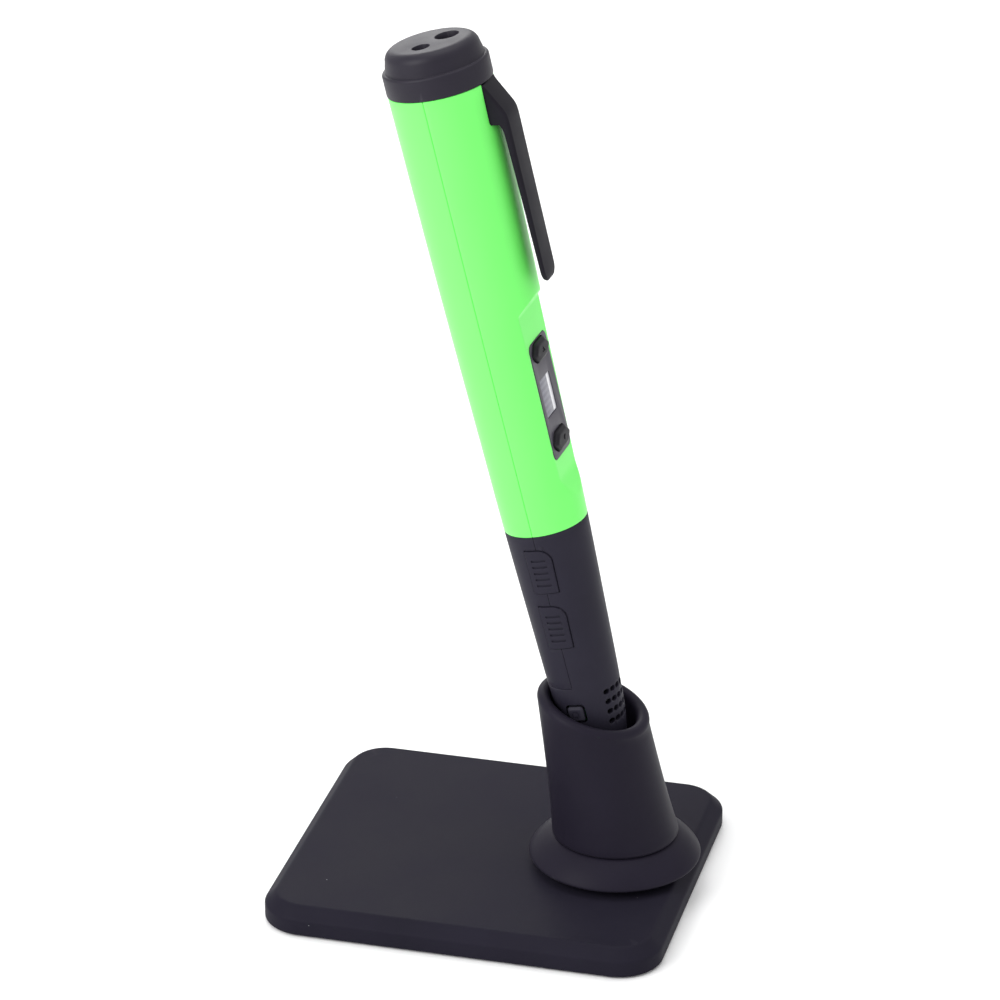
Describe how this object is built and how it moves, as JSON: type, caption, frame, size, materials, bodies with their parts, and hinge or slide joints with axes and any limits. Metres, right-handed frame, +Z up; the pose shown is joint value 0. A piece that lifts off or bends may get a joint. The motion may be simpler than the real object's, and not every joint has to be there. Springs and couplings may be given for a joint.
{
  "type": "3d pen on a stand",
  "caption": "Slim 3D pen with a display, side buttons, clip and end inlets, standing in a leaning swivel cup on a flat rounded base plate.",
  "frame": {"origin": "middle of the base plate's underside, on the surface it stands on", "axes": "+Z up, +X to the right along the plate's front edge towards the holder, +Y to the back"},
  "size_m": [0.1013, 0.09, 0.2192],
  "materials": {
    "plate_black": "matt soft-touch",
    "steel_weight": "plain cut steel",
    "rubber_foot": "matt",
    "slip_plastic": "smooth low-friction plastic",
    "holder_black": "satin",
    "screw_steel": "machined",
    "barrel_green": "glossy lacquer",
    "grip_black": "matt",
    "cap_rubber": "matt",
    "clip_black": "satin",
    "panel_gloss": "polished",
    "screen": "clear window over a grey display",
    "button_black": "satin",
    "circuit_board": "solder mask",
    "switch_metal": "stamped",
    "jack_black": "moulded",
    "ptfe": "waxy",
    "brass": "machined",
    "motor_steel": "drawn can",
    "feed_plastic": "moulded",
    "ceramic": "unglazed",
    "thermistor_bead": "glassy bead",
    "fan_black": "moulded"
  },
  "bodies": {
    "stand": {"base_plate": "plate_black", "base_weight": "steel_weight", "base_pad": "rubber_foot", "thrust_washer": "slip_plastic"},
    "holder": {"pivot_hub": "holder_black", "retaining_washer": "screw_steel", "pivot_screw": "screw_steel", "cup_screws": "screw_steel", "holder_skirt": "holder_black", "holder_cup": "holder_black"},
    "clip": {"pocket_clip": "clip_black"},
    "temp_up": {"temp_up_button": "button_black"},
    "temp_down": {"temp_down_button": "button_black"},
    "feed_key": {"feed_button": "grip_black"},
    "retract_key": {"retract_button": "grip_black"},
    "power_key": {"power_button": "grip_black"},
    "feed_drive": {"feed_screw": "brass", "screw_gear": "brass"},
    "motor_output": {"output_shaft": "screw_steel", "motor_pinion": "brass"},
    "pinch": {"pinch_roller": "screw_steel"},
    "fan": {"fan_rotor": "fan_black"},
    "pen": {"front_shell": "barrel_green", "rear_shell": "barrel_green", "grip_front_shell": "grip_black", "grip_rear_shell": "grip_black", "end_cap": "cap_rubber", "display_panel": "panel_gloss", "display_screen": "screen", "display_board": "circuit_board", "panel_switches": "switch_metal", "grip_board": "circuit_board", "grip_switches": "switch_metal", "power_board": "circuit_board", "main_board": "circuit_board", "board_screws": "screw_steel", "dc_jack": "jack_black", "filament_tube": "ptfe", "feed_motor": "motor_steel", "motor_gearbox": "brass", "screw_bushes": "brass", "pinch_axle": "screw_steel", "feed_block": "feed_plastic", "ptfe_tube": "ptfe", "hot_end_clamp": "grip_black", "heat_break": "screw_steel", "heater_core": "ceramic", "thermistor": "thermistor_bead", "nozzle": "brass", "nose_insulator": "ceramic", "fan_frame": "fan_black"}
  },
  "joints": [
    {"name": "holder_swivel", "type": "hinge", "parent": "stand", "child": "holder", "pos_m": [0.03, 0, 0.009], "axis": [0, 0, 1], "continuous": true},
    {"name": "pen_lift", "type": "slide", "parent": "holder", "child": "pen", "axis": [-0.23, 0, 0.9732], "range_m": [0, 0.06]},
    {"name": "clip_flex", "type": "hinge", "parent": "pen", "child": "clip", "pos_m": [-0.00253, -0.00079, 0.20819], "axis": [-0.0679, -0.9976, -0.016], "range_deg": [0, 4], "stiffness_Nm_per_rad": 3.7, "springref_deg": -1.15},
    {"name": "temp_up_press", "type": "slide", "parent": "pen", "child": "temp_up", "axis": [-0.9708, 0.0698, -0.2295], "range_m": [0, 0.0004], "stiffness_N_per_m": 1500, "springref_m": -0.0004},
    {"name": "temp_down_press", "type": "slide", "parent": "pen", "child": "temp_down", "axis": [-0.9708, 0.0698, -0.2295], "range_m": [0, 0.0004], "stiffness_N_per_m": 1500, "springref_m": -0.0004},
    {"name": "feed_press", "type": "slide", "parent": "pen", "child": "feed_key", "axis": [0.0679, 0.9976, 0.016], "range_m": [0, 0.0004], "stiffness_N_per_m": 1500, "springref_m": -0.0004},
    {"name": "retract_press", "type": "slide", "parent": "pen", "child": "retract_key", "axis": [0.0679, 0.9976, 0.016], "range_m": [0, 0.0004], "stiffness_N_per_m": 1500, "springref_m": -0.0004},
    {"name": "power_press", "type": "slide", "parent": "pen", "child": "power_key", "axis": [0.0679, 0.9976, 0.016], "range_m": [0, 0.0004], "stiffness_N_per_m": 1500, "springref_m": -0.0004},
    {"name": "feed_spin", "type": "hinge", "parent": "pen", "child": "feed_drive", "pos_m": [0.01204, -0.00004, 0.10015], "axis": [-0.23, 0, 0.9732], "continuous": true},
    {"name": "motor_spin", "type": "hinge", "parent": "pen", "child": "motor_output", "pos_m": [0.00837, 0.00307, 0.10544], "axis": [-0.23, 0, 0.9732], "continuous": true},
    {"name": "roller_spin", "type": "hinge", "parent": "pen", "child": "pinch", "pos_m": [0.01187, -0.00583, 0.09908], "axis": [0.9708, -0.0698, 0.2295], "continuous": true},
    {"name": "fan_spin", "type": "hinge", "parent": "pen", "child": "fan", "pos_m": [0.02656, -0.00024, 0.05128], "axis": [0.9708, -0.0698, 0.2295], "continuous": true}
  ],
  "couplings": [
    {"joint": "motor_spin", "follows": "feed_spin", "ratio": -0.85714},
    {"joint": "roller_spin", "follows": "feed_spin", "ratio": -0.21221}
  ]
}
